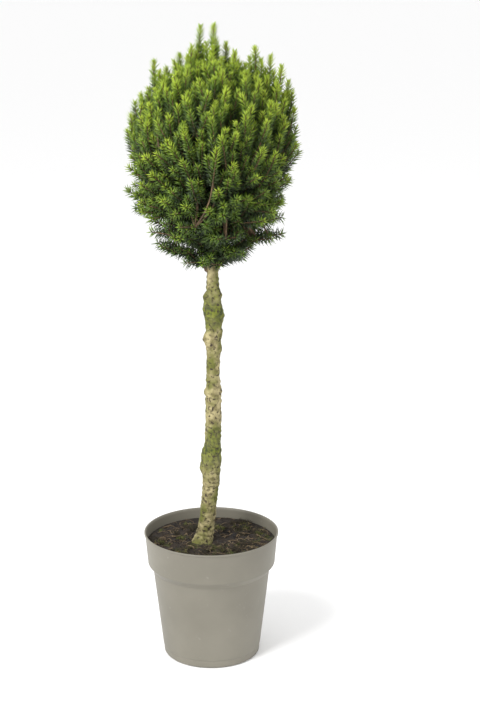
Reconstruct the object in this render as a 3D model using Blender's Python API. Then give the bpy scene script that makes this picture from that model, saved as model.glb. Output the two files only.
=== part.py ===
"""A dwarf white spruce grown as a standard: a dense round crown on a clear stem, in a plant pot.

Metres, +Z up. The origin is the centre of the pot's underside, and the front faces -Y.
The crown is a rounded bun of ascending shoots. Boughs carry it from the stem, and each bough
holds one mass of needles that keeps to its own share of the crown.
"""

import math
import random

import bmesh
import bpy
import numpy as np
from mathutils import Vector

CLEARANCE = 0.0003  # between pieces that touch on the real plant
UP = Vector((0, 0, 1))
GOLDEN_ANGLE = math.pi * (3 - math.sqrt(5))

# Pot: a thrown-out band at the rim, over a tapered body
POT_HEIGHT = 0.168
POT_LIP_RADIUS = 0.0884
POT_LIP_DEPTH = 0.0022
POT_BAND_TOP_RADIUS = 0.0876
POT_BAND_RADIUS = 0.0838
POT_BAND_FOOT = 0.1265
POT_NECK = 0.1185
POT_NECK_RADIUS = 0.0773
POT_FOOT_RADIUS = 0.0636
POT_FOOT_EDGE = 0.0014
POT_WALL = 0.0016
POT_FLOOR = 0.0030
POT_SIDES = 44
DRAINS = 6
DRAIN_RADIUS = 0.0045
DRAIN_RING_RADIUS = 0.044
DRAIN_SIDES = 10
VENTS = 6
VENT_WIDTH = 0.010
VENT_HEIGHT = 0.0024
VENT_FIRST_BEARING = 218

# Potting compost: fills the pot, with a level seat for the stem's foot
SOIL_TOP = 0.1540
SOIL_SEAT_RADIUS = 0.0195
SOIL_ROUGHNESS = 0.0024
SOIL_RINGS = 5
SOIL_SIDES = 24
SOIL_SEED = 3

# Stem: leans off its foot, swells where it is mossy and where the crown was grafted on, tapers to the top
STEM_FOOT_X = -0.0090
STEM_X = 0.0035
STEM_STRAIGHT_FROM = 0.330
STEM_BEND = 1.8
STEM_CLEAR_TO = 0.500
STEM_TIP = 0.664
STEM_FOOT_RADIUS = 0.0106
STEM_CLEAR_RADIUS = 0.0076
STEM_TIP_RADIUS = 0.0032
FLARE = 0.0034
FLARE_HEIGHT = 0.0095
BUTTRESS = 0.75
STEM_SWELLINGS = (
    (0.264, 0.0030, 0.020),
    (0.335, 0.0009, 0.016),
    (0.428, 0.0022, 0.011),
    (0.464, 0.0054, 0.012),
)
STEM_SIDES = 14
STEM_RING_GAP = 0.0088
STEM_CROWN_RING_GAP = 0.030
KNOTS = 36
KNOT_SEED = 11

# Crown: half an ellipsoid above its widest level and half below
CROWN_WIDEST = 0.680
CROWN_RADIUS = 0.104
CROWN_RISE = 0.105
CROWN_DROP = 0.165
SHOOT_LEVELS = (0.570, 0.745)
SHOOT_ELEVATIONS = (math.radians(12), math.radians(87))

# Dense masses: a ring of tall flanks round the stem, and a top mass over its tip
FLANKS = 8
FLANK_LEVEL = 0.685
FLANK_DISTANCE = 0.060
FLANK_FIRST_BEARING = 12.0
FLANK_ROOT_LEVELS = (0.578, 0.612)
FLANK_SIZE = 0.099
TOP_LEVEL = 0.700
TOP_SIZE = 0.0977
DENSE_WALL = 0.026
DENSE_FLOOR = 0.578
CORE_SHARE = 0.79
CORE_ROUGHNESS = (0.90, 1.0)
CORE_GAP = 0.0012
CORE_SEED = 5
TUFT = 0.015
TUFT_FACING = 0.1

# Low boughs with open sprays: bearing, level and reach of the tip, level on the stem, bare share
SKIRT = (
    (2.0, 0.562, 0.074, 0.532, 0.26),
    (30.0, 0.577, 0.086, 0.556, 0.24),
    (-38.0, 0.544, 0.046, 0.518, 0.20),
    (-72.0, 0.568, 0.056, 0.542, 0.24),
    (-108.0, 0.584, 0.066, 0.562, 0.24),
    (-144.0, 0.570, 0.066, 0.544, 0.24),
    (-176.0, 0.546, 0.057, 0.515, 0.18),
    (174.0, 0.594, 0.092, 0.572, 0.60),
    (130.0, 0.560, 0.064, 0.530, 0.28),
    (84.0, 0.570, 0.070, 0.543, 0.28),
)
SKIRT_ARRIVAL = math.radians(9)
SKIRT_STIFFNESS = 0.55
SKIRT_MIDDLE = 0.72
SKIRT_SIZE = 0.020
SKIRT_SPRAY_SHARES = (0.12, 0.32, 0.54, 0.76)
SKIRT_SPRAY_LENGTH = 0.034
SKIRT_SPRAY_SPLAY = math.radians(46)
SKIRT_SPRAY_LIFT = 0.16

# Boughs
LIMB_POINTS = 40
BOUGH_ROOT_RADIUS = 0.0028
BOUGH_TIP_RADIUS = 0.0022
BOUGH_CLIMB = math.radians(46)
BOUGH_SIDES = 6
BOUGH_STEPS = 3
BOUGH_STAND_OFF = 0.003
BOUGH_LEAST = 0.008

# Leading shoots, which stand out of the crown: x, y and level of the tip
LEADERS = (
    (0.006, -0.004, 0.820),
    (-0.010, 0.004, 0.818),
    (-0.020, -0.014, 0.795),
    (0.021, 0.012, 0.797),
    (0.031, -0.014, 0.789),
    (0.056, -0.004, 0.793),
    (0.075, 0.008, 0.782),
    (0.088, -0.012, 0.771),
    (-0.036, 0.006, 0.784),
    (-0.066, -0.010, 0.777),
    (-0.057, 0.020, 0.757),
    (0.010, 0.036, 0.792),
    (0.004, -0.027, 0.784),
    (0.050, 0.044, 0.778),
    (-0.018, 0.064, 0.772),
    (0.018, -0.056, 0.768),
    (-0.040, -0.050, 0.762),
    (0.097, 0.012, 0.751),
    (0.104, -0.008, 0.720),
    (0.111, 0.004, 0.666),
    (0.099, -0.010, 0.633),
    (0.090, 0.008, 0.606),
    (-0.084, 0.004, 0.736),
    (-0.101, 0.006, 0.692),
    (-0.102, -0.006, 0.621),
)
LEADER_ROOM = 0.017

# Sprays: a slim three-sided core, with a stout needle standing out of each of its faces
TIP_COUNT = 92
TIP_SEED = 6
TIP_SPREAD = (0.93, 1.04)
LOWEST_TIP = 0.594
SPRAY_LENGTH = 0.048
SPRAY_SIDES = 3
SPRAY_STEP = 0.0090
SPRAY_TWIST = math.radians(34)
SPRAY_ROOT_RADIUS = 0.0027
SPRAY_END_RADIUS = 0.0018
SPRAY_POINT = 0.0035
SPRAY_SINK = 0.72
SPRAY_STIFFNESS = 0.4
SPRAY_MARGIN = 0.005
NEEDLE = 0.0104
NEEDLE_LEAN = math.radians(46)
NEEDLE_STAND_OFF = 0.0012


for leftover in list(bpy.data.objects):
    bpy.data.objects.remove(leftover)


def finish(name, colour, roughness):
    """A plain Principled material."""
    made = bpy.data.materials.new(name)
    made.use_nodes = True
    shader = made.node_tree.nodes["Principled BSDF"]
    shader.inputs["Base Color"].default_value = (*colour, 1.0)
    shader.inputs["Roughness"].default_value = roughness
    shader.inputs["Metallic"].default_value = 0.0
    return made


def add_object(name, bm, material, smooth_angle=None):
    """Makes a closed bmesh an object, with its faces pointing out."""
    bmesh.ops.recalc_face_normals(bm, faces=bm.faces)
    mesh = bpy.data.meshes.new(name)
    bm.to_mesh(mesh)
    bm.free()
    if smooth_angle is not None:
        mesh.shade_smooth()
        mesh.set_sharp_from_angle(angle=smooth_angle)
    made = bpy.data.objects.new(name, mesh)
    made.data.materials.append(material)
    bpy.context.scene.collection.objects.link(made)
    return made


def turned(profile, sides):
    """A bmesh turned about the Z axis from (radius, level) points that start and end on the axis."""
    bm = bmesh.new()
    points = [bm.verts.new((radius, 0, level)) for radius, level in profile]
    edges = [bm.edges.new(pair) for pair in zip(points, points[1:])]
    bmesh.ops.spin(
        bm,
        geom=points + edges,
        cent=(0, 0, 0),
        axis=UP,
        angle=2 * math.pi,
        steps=sides,
        use_merge=True,
    )
    bmesh.ops.remove_doubles(bm, verts=bm.verts, dist=1e-6)
    return bm


def tube(bm, rings, point=None):
    """Bridges rings of points into a closed tube, and returns the side faces of each stretch."""
    loops = [[bm.verts.new(place) for place in ring] for ring in rings]
    stretches = []
    for lower, upper in zip(loops, loops[1:]):
        count = len(lower)
        stretches.append(
            [
                bm.faces.new((lower[k], lower[(k + 1) % count], upper[(k + 1) % count], upper[k]))
                for k in range(count)
            ]
        )
    bm.faces.new(reversed(loops[0]))
    if point is None:
        bm.faces.new(loops[-1])
    else:
        end = bm.verts.new(point)
        for k, corner in enumerate(loops[-1]):
            bm.faces.new((corner, loops[-1][(k + 1) % len(loops[-1])], end))
    return stretches


def ring_about(centre, along, radius, sides, turn=0.0):
    """A ring of points round a centre, square to a direction."""
    side = along.cross(Vector((0.31, 0.95, 0.05))).normalized()
    other = along.cross(side).normalized()
    angles = (turn + 2 * math.pi * k / sides for k in range(sides))
    return [centre + radius * (math.cos(a) * side + math.sin(a) * other) for a in angles]


def smooth_step(share):
    share = min(max(share, 0.0), 1.0)
    return share * share * (3 - 2 * share)


def bearing(degrees):
    """The level unit vector this many degrees round from +X."""
    turn = math.radians(degrees)
    return Vector((math.cos(turn), math.sin(turn), 0))


def bend(start, end, arrival, steps, stiffness=0.5):
    """Points along one soft bend from start to end, which arrives along the given direction."""
    elbow = end - arrival * (end - start).length * stiffness
    shares = [k / steps for k in range(steps + 1)]
    return [(1 - t) ** 2 * start + 2 * t * (1 - t) * elbow + t * t * end for t in shares]


def headings(path):
    """The direction of travel at each point of a path."""
    ends = zip(path[:1] + path[:-1], path[1:] + path[-1:])
    return [(after - before).normalized() for before, after in ends]


def mix(first, last, share):
    return first + (last - first) * share


def boolean(target, operation, **operand):
    """Adds one exact Boolean and applies it."""
    cut = target.modifiers.new(operation.lower(), "BOOLEAN")
    cut.operation = operation
    cut.solver = "EXACT"
    for key, value in operand.items():
        setattr(cut, key, value)
    graph = bpy.context.evaluated_depsgraph_get()
    joined = bpy.data.meshes.new_from_object(target.evaluated_get(graph))
    target.modifiers.remove(cut)
    target.data = joined


# The pot


def drain_cutter(name, degrees, material):
    """An upright round cutter through the floor."""
    bm = bmesh.new()
    place = DRAIN_RING_RADIUS * bearing(degrees)
    depths = (-2 * POT_FLOOR, 2 * POT_FLOOR)
    rings = [ring_about(place + depth * UP, UP, DRAIN_RADIUS, DRAIN_SIDES) for depth in depths]
    tube(bm, rings)
    return add_object(name, bm, material)


def vent_cutter(name, degrees, material):
    """A low arch through the foot of the wall."""
    bm = bmesh.new()
    outward = bearing(degrees)
    across = UP.cross(outward)
    rings = []
    for reach in (POT_FOOT_RADIUS - 4 * POT_WALL, POT_FOOT_RADIUS + 2 * POT_WALL):
        ring = []
        for side, level in ((-1, -1), (1, -1), (1, 0.4), (0.6, 1), (-0.6, 1), (-1, 0.4)):
            place = reach * outward + side * VENT_WIDTH / 2 * across
            ring.append(place + level * VENT_HEIGHT * UP)
        rings.append(ring)
    tube(bm, rings)
    return add_object(name, bm, material)


def pot_wall_radius(level):
    """The inner wall's radius: it follows the outside, one wall thickness in."""
    if level < POT_NECK:
        outside = mix(POT_FOOT_RADIUS, POT_NECK_RADIUS, level / POT_NECK)
    else:
        share = max(level - POT_BAND_FOOT, 0) / (POT_HEIGHT - POT_BAND_FOOT)
        outside = mix(POT_BAND_RADIUS, POT_BAND_TOP_RADIUS, share)
    return outside - POT_WALL


def make_pot(material):
    lip_foot = POT_HEIGHT - POT_LIP_DEPTH
    lip_edge = POT_WALL / 4
    profile = [
        (0, 0),
        (POT_FOOT_RADIUS - POT_FOOT_EDGE, 0),
        (POT_FOOT_RADIUS, POT_FOOT_EDGE),
        (POT_NECK_RADIUS, POT_NECK),
        (POT_BAND_RADIUS, POT_BAND_FOOT),
        (POT_BAND_TOP_RADIUS, lip_foot),
        (POT_LIP_RADIUS, POT_HEIGHT - lip_edge),
        (POT_LIP_RADIUS - lip_edge, POT_HEIGHT),
        (POT_LIP_RADIUS - POT_WALL, POT_HEIGHT),
        (pot_wall_radius(lip_foot), lip_foot - lip_edge),
        (pot_wall_radius(POT_BAND_FOOT), POT_BAND_FOOT + POT_WALL / 2),
        (pot_wall_radius(POT_NECK - CLEARANCE), POT_NECK + POT_WALL / 2),
        (pot_wall_radius(POT_FLOOR), POT_FLOOR),
        (0, POT_FLOOR),
    ]
    pot = add_object("pot", turned(profile, POT_SIDES), material, math.radians(25))
    cutters = bpy.data.collections.new("pot cutters")
    bpy.context.scene.collection.children.link(cutters)
    made = []
    for k in range(DRAINS):
        made.append(drain_cutter(f"drain_{k}", 360 * (k + 0.5) / DRAINS, material))
    for k in range(VENTS):
        made.append(vent_cutter(f"vent_{k}", VENT_FIRST_BEARING + 360 * k / VENTS, material))
    for cutter in made:
        bpy.context.scene.collection.objects.unlink(cutter)
        cutters.objects.link(cutter)
    boolean(pot, "DIFFERENCE", operand_type="COLLECTION", collection=cutters)
    for cutter in made:
        bpy.data.objects.remove(cutter)
    bpy.data.collections.remove(cutters)


# The compost


def make_soil(material):
    """A plug inside the pot's wall, whose top is uneven apart from the seat under the stem."""
    draw = random.Random(SOIL_SEED)
    top_radius = pot_wall_radius(SOIL_TOP) - 2 * CLEARANCE
    base = POT_FLOOR + CLEARANCE
    outline = [
        (pot_wall_radius(base) - 2 * CLEARANCE, base),
        (pot_wall_radius(POT_NECK - CLEARANCE) - 2 * CLEARANCE, POT_NECK + 2 * CLEARANCE),
        (pot_wall_radius(POT_BAND_FOOT) - 3 * CLEARANCE, POT_BAND_FOOT + POT_WALL),
    ]
    rings = [ring_about(level * UP, UP, radius, SOIL_SIDES) for radius, level in outline]
    for k in range(SOIL_RINGS + 1):
        share = k / SOIL_RINGS
        centre = Vector((STEM_FOOT_X * share, 0, SOIL_TOP))
        ring = ring_about(centre, UP, mix(top_radius, SOIL_SEAT_RADIUS, share), SOIL_SIDES)
        if 0 < k < SOIL_RINGS:
            ring = [place + draw.uniform(-1, 1) * SOIL_ROUGHNESS * UP for place in ring]
        rings.append(ring)
    bm = bmesh.new()
    tube(bm, rings)
    add_object("potting_compost", bm, material, math.radians(40))


# The stem


def stem_centre(level):
    """The stem's centre line: it leans off its foot and comes upright in one bend."""
    left_to_go = max(STEM_STRAIGHT_FROM - level, 0) / (STEM_STRAIGHT_FROM - SOIL_TOP)
    return Vector((mix(STEM_X, STEM_FOOT_X, left_to_go**STEM_BEND), 0, level))


def stem_radius(level):
    """A slow taper up to the crown, a quicker one inside it, and the swellings."""
    if level < STEM_CLEAR_TO:
        share = (level - SOIL_TOP) / (STEM_CLEAR_TO - SOIL_TOP)
        radius = mix(STEM_FOOT_RADIUS, STEM_CLEAR_RADIUS, share)
    else:
        share = (level - STEM_CLEAR_TO) / (STEM_TIP - STEM_CLEAR_TO)
        radius = mix(STEM_CLEAR_RADIUS, STEM_TIP_RADIUS, share)
    for middle, height, spread in STEM_SWELLINGS:
        radius += height * math.exp(-(((level - middle) / spread) ** 2) / 2)
    return radius


def make_knots():
    """Healed scars over the clear stem, most of them on the swellings: level, angle, height, spread."""
    draw = random.Random(KNOT_SEED)
    found = []
    for number in range(KNOTS):
        level = draw.uniform(SOIL_TOP + 0.02, STEM_CLEAR_TO - 0.04)
        if number % 3 == 0:
            level = draw.choice(STEM_SWELLINGS)[0] + draw.uniform(-0.014, 0.014)
        angle = draw.uniform(0, 2 * math.pi)
        found.append((level, angle, draw.uniform(0.0008, 0.0021), draw.uniform(0.0032, 0.0048)))
    return found


def stem_surface(level, angle, scars):
    """A point of the bark: the stem's radius, its scars, and a flare with a buttress on the left."""
    radius = stem_radius(level)
    for middle, where, height, spread in scars:
        across = math.remainder(angle - where, 2 * math.pi) * radius
        radius += height * math.exp(-((level - middle) ** 2 + across**2) / (2 * spread**2))
    flare = FLARE * math.exp(-(level - SOIL_TOP) / FLARE_HEIGHT)
    radius += flare * (1 - BUTTRESS * math.cos(angle))
    return stem_centre(level) + radius * Vector((math.cos(angle), math.sin(angle), 0))


def stem_levels():
    """Ring levels: close together on the clear stem, further apart inside the crown."""
    foot = SOIL_TOP + CLEARANCE
    clear = round((STEM_CLEAR_TO - foot) / STEM_RING_GAP)
    inside = round((STEM_TIP - STEM_CLEAR_TO) / STEM_CROWN_RING_GAP)
    lower = [mix(foot, STEM_CLEAR_TO, k / clear) for k in range(clear)]
    return lower + [mix(STEM_CLEAR_TO, STEM_TIP, k / inside) for k in range(inside + 1)]


def make_stem(material):
    scars = make_knots()
    angles = [2 * math.pi * k / STEM_SIDES for k in range(STEM_SIDES)]
    bm = bmesh.new()
    tube(bm, [[stem_surface(level, angle, scars) for angle in angles] for level in stem_levels()])
    add_object("trunk", bm, material, math.radians(60))


# The crown's shape


def crown_share(point):
    """1 on the crown's outline, less inside it."""
    height = point.z - CROWN_WIDEST
    height /= CROWN_RISE if height > 0 else CROWN_DROP
    return math.hypot(math.hypot(point.x - STEM_X, point.y) / CROWN_RADIUS, height)


def crown_point(height, turn, share):
    """A point at a height share from -1 to 1 and an angle, on the outline grown or shrunk to a share."""
    level = CROWN_WIDEST + share * height * (CROWN_RISE if height > 0 else CROWN_DROP)
    radius = share * CROWN_RADIUS * math.sqrt(1 - height * height)
    return Vector((STEM_X + radius * math.cos(turn), radius * math.sin(turn), level))


def growth(tip):
    """The way a shoot points at its tip: outwards low in the crown, upright near the top."""
    low, high = SHOOT_LEVELS
    elevation = mix(*SHOOT_ELEVATIONS, smooth_step((tip.z - low) / (high - low)))
    outward = Vector((tip.x - STEM_X, tip.y, 0)).normalized()
    return math.cos(elevation) * outward + math.sin(elevation) * UP


def lattice_tips():
    """Shoot tips spread over the crown by the golden angle, unevenly deep, clear of the leaders."""
    draw = random.Random(TIP_SEED)
    leaders = [Vector(place) for place in LEADERS]
    lowest = (LOWEST_TIP - CROWN_WIDEST) / CROWN_DROP
    found = []
    for k in range(TIP_COUNT):
        height = mix(lowest, 1.0, (k + 0.5) / TIP_COUNT)
        tip = crown_point(height, k * GOLDEN_ANGLE, draw.uniform(*TIP_SPREAD))
        if all((tip - leader).xy.length > LEADER_ROOM for leader in leaders):
            found.append(tip)
    return found


# The limbs and the masses' places


class Mass:
    """A mass of needles: the limb that carries it, and the space that it keeps to."""

    def __init__(self, name, centre, size, limb, entry, wall, dense):
        self.name = name
        self.centre = centre
        self.size = size
        self.limb = limb  # from the stem's bark, along the bough and the mass's own stalk
        self.entry = entry  # how far from the stem the bough ends
        self.wall = wall  # how far from the stem the mass's space begins
        self.dense = dense
        self.normals = np.empty((0, 3))
        self.offsets = np.empty(0)

    def add_wall(self, normal, offset):
        self.normals = np.vstack((self.normals, normal))
        self.offsets = np.append(self.offsets, offset)

    def claim(self, point):
        """How weakly this mass claims a point: least for the mass whose space holds it."""
        return (point - self.centre).length_squared - self.size**2

    def room(self, points):
        """How far the worst of these points lies inside the walls."""
        return float((self.offsets - np.array(points) @ self.normals.T).min())


def limb_root(level, outward):
    """Where a limb leaves the stem: on the bark, a hair clear of it."""
    reach = stem_radius(level - 2 * BOUGH_ROOT_RADIUS) + CLEARANCE
    return stem_centre(level) + reach * outward


def lifted(outward, elevation):
    return math.cos(elevation) * outward + math.sin(elevation) * UP


def dense_masses():
    """The flanks, each on a bough that climbs to it from a staggered root, and the top mass."""
    made = []
    for k in range(FLANKS):
        outward = bearing(FLANK_FIRST_BEARING + 360 * k / FLANKS)
        centre = stem_centre(FLANK_LEVEL) + FLANK_DISTANCE * outward
        stagger = k * GOLDEN_ANGLE / (2 * math.pi) % 1
        root = limb_root(mix(*FLANK_ROOT_LEVELS, stagger), outward)
        limb = bend(root, centre, lifted(outward, BOUGH_CLIMB), LIMB_POINTS)
        entry = DENSE_WALL - BOUGH_STAND_OFF
        name = f"flank_needles_{k + 1}"
        made.append(Mass(name, centre, FLANK_SIZE, limb, entry, DENSE_WALL, True))
    foot = stem_centre(STEM_TIP) + CLEARANCE * UP
    centre = stem_centre(TOP_LEVEL)
    made.append(Mass("top_needles", centre, TOP_SIZE, [foot, centre], None, None, True))
    return made


def skirt_masses():
    """Open low masses: each limb rises off the stem, then levels out."""
    made = []
    for k, (degrees, level, reach, root_level, bare) in enumerate(SKIRT):
        outward = bearing(degrees)
        tip = stem_centre(level) + reach * outward
        arrival = lifted(outward, SKIRT_ARRIVAL)
        limb = bend(limb_root(root_level, outward), tip, arrival, LIMB_POINTS, SKIRT_STIFFNESS)
        centre = limb[round(SKIRT_MIDDLE * LIMB_POINTS)]
        entry = max(bare * reach, stem_radius(root_level) + BOUGH_LEAST)
        wall = entry - BOUGH_STAND_OFF
        made.append(Mass(f"skirt_needles_{k + 1}", centre, SKIRT_SIZE, limb, entry, wall, False))
    return made


def set_walls(masses):
    """A wall towards every other mass, one that faces the stem, and a floor under a dense mass.

    Two masses of one size have their wall midway. Otherwise it stands nearer the smaller one, on
    the plane from which the tangents to both spheres are as long.
    """
    for mass in masses:
        for other in masses:
            if other is not mass:
                apart = other.centre - mass.centre
                share = (1 + (mass.size**2 - other.size**2) / apart.length_squared) / 2
                normal = apart.normalized()
                mass.add_wall(normal, normal.dot(mass.centre + share * apart) - CLEARANCE)
        if mass.wall is None:
            mass.add_wall(-UP, -(STEM_TIP + BOUGH_STAND_OFF))
            continue
        inward = stem_centre(mass.centre.z) - mass.centre
        inward.normalize()
        mass.add_wall(inward, inward.dot(stem_centre(mass.centre.z)) - mass.wall)
        if mass.dense:
            mass.add_wall(-UP, -DENSE_FLOOR)


def split_limb(mass):
    """The bough's points, and those of the mass's stalk, which starts a hair past the bough's end."""
    if mass.entry is None:
        return [], mass.limb
    stem = stem_centre(TOP_LEVEL)
    last = next(k for k, point in enumerate(mass.limb) if (point - stem).xy.length > mass.entry)
    start = mass.limb[last] + CLEARANCE * headings(mass.limb)[last]
    return mass.limb[: last + 1], [start] + mass.limb[last + 2 :]


def resampled(path, steps):
    """The same bend with fewer points, its ends kept."""
    return [path[round(k * (len(path) - 1) / steps)] for k in range(steps + 1)]


def make_bough(name, path, material):
    """One tapering limb. Its root face stands upright against the stem."""
    path = resampled(path, BOUGH_STEPS)
    ways = headings(path)
    ways[0] = Vector((ways[0].x, ways[0].y, 0)).normalized()
    rings = []
    for k, (point, way) in enumerate(zip(path, ways)):
        radius = mix(BOUGH_ROOT_RADIUS, BOUGH_TIP_RADIUS, k / BOUGH_STEPS)
        rings.append(ring_about(point, way, radius, BOUGH_SIDES))
    bm = bmesh.new()
    tube(bm, rings)
    add_object(name, bm, material, math.radians(60))


class Limbs:
    """Every limb as a string of balls, for keeping needles off it."""

    def __init__(self):
        levels = np.arange(STEM_CLEAR_TO, STEM_TIP, BOUGH_STAND_OFF)
        self.balls = [(*stem_centre(level), stem_radius(level)) for level in levels]

    def add(self, path):
        self.balls += [(*point, BOUGH_ROOT_RADIUS) for point in path]

    def touched(self, points):
        balls = np.array(self.balls)
        apart = np.array(points)[:, None, :] - balls[None, :, :3]
        return bool((np.linalg.norm(apart, axis=2) < balls[:, 3] + NEEDLE_STAND_OFF).any())


# The needles


def core_reach(mass, way):
    """How far a mass's core may reach one way: to the shrunk outline of the crown, or short of a wall."""
    near, far = 0.0, CROWN_RISE + CROWN_DROP
    for _ in range(24):
        middle = (near + far) / 2
        inside = crown_share(mass.centre + middle * way) < CORE_SHARE
        near, far = (middle, far) if inside else (near, middle)
    towards = mass.normals @ np.array(way)
    gaps = mass.offsets - CORE_GAP - mass.normals @ np.array(mass.centre)
    return min([near] + [float(gap / rate) for gap, rate in zip(gaps, towards) if rate > 1e-6])


def make_core(mass, material, draw):
    """The heart of a dense mass: a rough ball that fills its space, its outer faces drawn out to tufts."""
    bm = bmesh.new()
    bmesh.ops.create_icosphere(bm, subdivisions=2, radius=1)
    for corner in bm.verts:
        way = corner.co.normalized()
        corner.co = mass.centre + draw.uniform(*CORE_ROUGHNESS) * core_reach(mass, way) * way
    for face in list(bm.faces):
        middle = face.calc_center_median()
        tuft_tip = middle + TUFT * growth(middle)
        face.normal_update()
        if face.normal.dot(growth(middle)) > TUFT_FACING and mass.room([tuft_tip]) > 0:
            bmesh.ops.poke(bm, faces=[face])["verts"][0].co = tuft_tip
    return add_object(f"{mass.name} core", bm, material)


def make_stalk(mass, path, material):
    """The end of the limb, inside a dense mass."""
    path = resampled(path, min(2, len(path) - 1))
    radius = min(BOUGH_TIP_RADIUS, STEM_TIP_RADIUS)
    rings = [ring_about(point, way, radius, BOUGH_SIDES) for point, way in zip(path, headings(path))]
    bm = bmesh.new()
    tube(bm, rings)
    return add_object(f"{mass.name} stalk", bm, material)


def make_spray(mass, path, limbs, material, rooted_in_bough=False):
    """A slim tube whose side faces are each drawn out to a needle that leans forward.

    The spray is skipped if its tube would leave the mass's space or touch a limb, and so is each
    such needle.
    """
    ways = headings(path)
    rings = []
    for k, (point, way) in enumerate(zip(path, ways)):
        radius = mix(SPRAY_ROOT_RADIUS, SPRAY_END_RADIUS, k / (len(path) - 1))
        rings.append(ring_about(point, way, radius, SPRAY_SIDES, k * SPRAY_TWIST))
    end = path[-1] + SPRAY_POINT * ways[-1]
    if not rooted_in_bough:
        corners = [corner for ring in rings for corner in ring] + [end]
        if mass.room(corners) < 0 or limbs.touched(corners):
            return None
    bm = bmesh.new()
    for k, faces in enumerate(tube(bm, rings, end)):
        way = (path[k + 1] - path[k]).normalized()
        for face in faces:
            root = face.calc_center_median()
            outward = root - path[k]
            outward -= outward.dot(way) * way
            lean = math.cos(NEEDLE_LEAN) * way + math.sin(NEEDLE_LEAN) * outward.normalized()
            needle_tip = root + NEEDLE * lean
            if mass.room([needle_tip]) < 0 or limbs.touched([needle_tip]):
                continue
            poked = bmesh.ops.poke(bm, faces=[face])
            poked["verts"][0].co = needle_tip
    return add_object(f"{mass.name} spray", bm, material)


def spray_path(start, tip, arrival):
    """The path of a spray, stopped short of its tip by the length of its point."""
    end = tip - SPRAY_POINT * arrival
    steps = max(3, round((end - start).length / SPRAY_STEP))
    return bend(start, end, arrival, steps, SPRAY_STIFFNESS)


def drawn_in(tip, mass):
    """A tip moved off any wall that it stands too near."""
    for normal, offset in zip(mass.normals, mass.offsets):
        short = SPRAY_MARGIN - float(offset - np.dot(normal, tip))
        if short > 0:
            tip = tip - short * Vector(normal)
    return tip


def spray_root(tip, mass):
    """Back along the shoot's own way, swung towards the mass's middle until the root is sunk in the core."""
    natural = tip - SPRAY_LENGTH * growth(tip)
    for k in range(20):
        root = mix(natural, mass.centre, k / 20)
        way = (root - mass.centre).normalized()
        if (root - mass.centre).length < SPRAY_SINK * core_reach(mass, way):
            return root
    return mass.centre


def skirt_spray_paths(stalk):
    """Side sprays of an open mass: alternately left and right along its stalk, splayed and lifted."""
    found = []
    ways = headings(stalk)
    for k, share in enumerate(SKIRT_SPRAY_SHARES):
        place = round(share * (len(stalk) - 1))
        way = ways[place]
        across = way.cross(UP).normalized() * (1 if k % 2 else -1)
        splayed = math.cos(SKIRT_SPRAY_SPLAY) * way + math.sin(SKIRT_SPRAY_SPLAY) * across
        arrival = (splayed + SKIRT_SPRAY_LIFT * (k - 1) * UP).normalized()
        tip = stalk[place] + SKIRT_SPRAY_LENGTH * arrival
        found.append(spray_path(stalk[place], tip, arrival))
    return found


def largest_shell(mesh):
    """Keeps the biggest closed shell: a sealed hollow is filled so, and a loose scrap dropped."""
    bm = bmesh.new()
    bm.from_mesh(mesh)
    left = set(bm.faces)
    shells = []
    while left:
        shell = {left.pop()}
        edge_of_search = list(shell)
        while edge_of_search:
            face = edge_of_search.pop()
            for edge in face.edges:
                for neighbour in edge.link_faces:
                    if neighbour in left:
                        left.remove(neighbour)
                        shell.add(neighbour)
                        edge_of_search.append(neighbour)
        shells.append(shell)
    shells.sort(key=len)
    dropped = [face for shell in shells[:-1] for face in shell]
    bmesh.ops.delete(bm, geom=dropped, context="FACES")
    bm.to_mesh(mesh)
    bm.free()


def fuse(mass, pieces, material):
    """One Boolean union of a mass's pieces, which are then removed."""
    base, *others = pieces
    group = bpy.data.collections.new(mass.name)
    bpy.context.scene.collection.children.link(group)
    for piece in others:
        bpy.context.scene.collection.objects.unlink(piece)
        group.objects.link(piece)
    boolean(base, "UNION", operand_type="COLLECTION", collection=group)
    for piece in others:
        bpy.data.objects.remove(piece)
    bpy.data.collections.remove(group)
    largest_shell(base.data)
    base.name = mass.name
    base.data.name = mass.name
    base.data.materials.clear()
    base.data.materials.append(material)


def make_crown(twig, needles):
    masses = dense_masses() + skirt_masses()
    set_walls(masses)
    limbs = Limbs()
    stalks = []
    for mass in masses:
        bough, stalk = split_limb(mass)
        stalks.append(stalk)
        if bough:
            limbs.add(bough)
            make_bough(mass.name.replace("needles", "bough"), bough, twig)
    tips = [Vector(place) for place in LEADERS] + lattice_tips()
    owners = [min(masses, key=lambda mass: mass.claim(tip)) for tip in tips]
    draw = random.Random(CORE_SEED)
    for mass, stalk in zip(masses, stalks):
        if mass.dense:
            pieces = [make_core(mass, needles, draw), make_stalk(mass, stalk, needles)]
            own = [drawn_in(tip, mass) for tip, owner in zip(tips, owners) if owner is mass]
            paths = [spray_path(spray_root(tip, mass), tip, growth(tip)) for tip in own]
        else:
            steps = round((stalk[-1] - stalk[0]).length / SPRAY_STEP)
            stalk_path = resampled(stalk, steps)
            pieces = [make_spray(mass, stalk_path, limbs, needles, rooted_in_bough=True)]
            paths = skirt_spray_paths(stalk)
        sprays = [make_spray(mass, path, limbs, needles) for path in paths]
        fuse(mass, pieces + [spray for spray in sprays if spray], needles)


make_pot(finish("pot_plastic", (0.27, 0.26, 0.22), 0.5))
make_soil(finish("compost", (0.022, 0.014, 0.009), 0.95))
make_stem(finish("bark", (0.33, 0.29, 0.17), 0.85))
make_crown(
    finish("twig_bark", (0.16, 0.10, 0.05), 0.85),
    finish("needles", (0.10, 0.22, 0.03), 0.6),
)
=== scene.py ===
"""A dwarf white spruce grown as a standard, in a plant pot: its looks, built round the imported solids.

Metres, +Z up. The origin is the centre of the pot's underside, and the front faces -Y.
"""

import math

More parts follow.
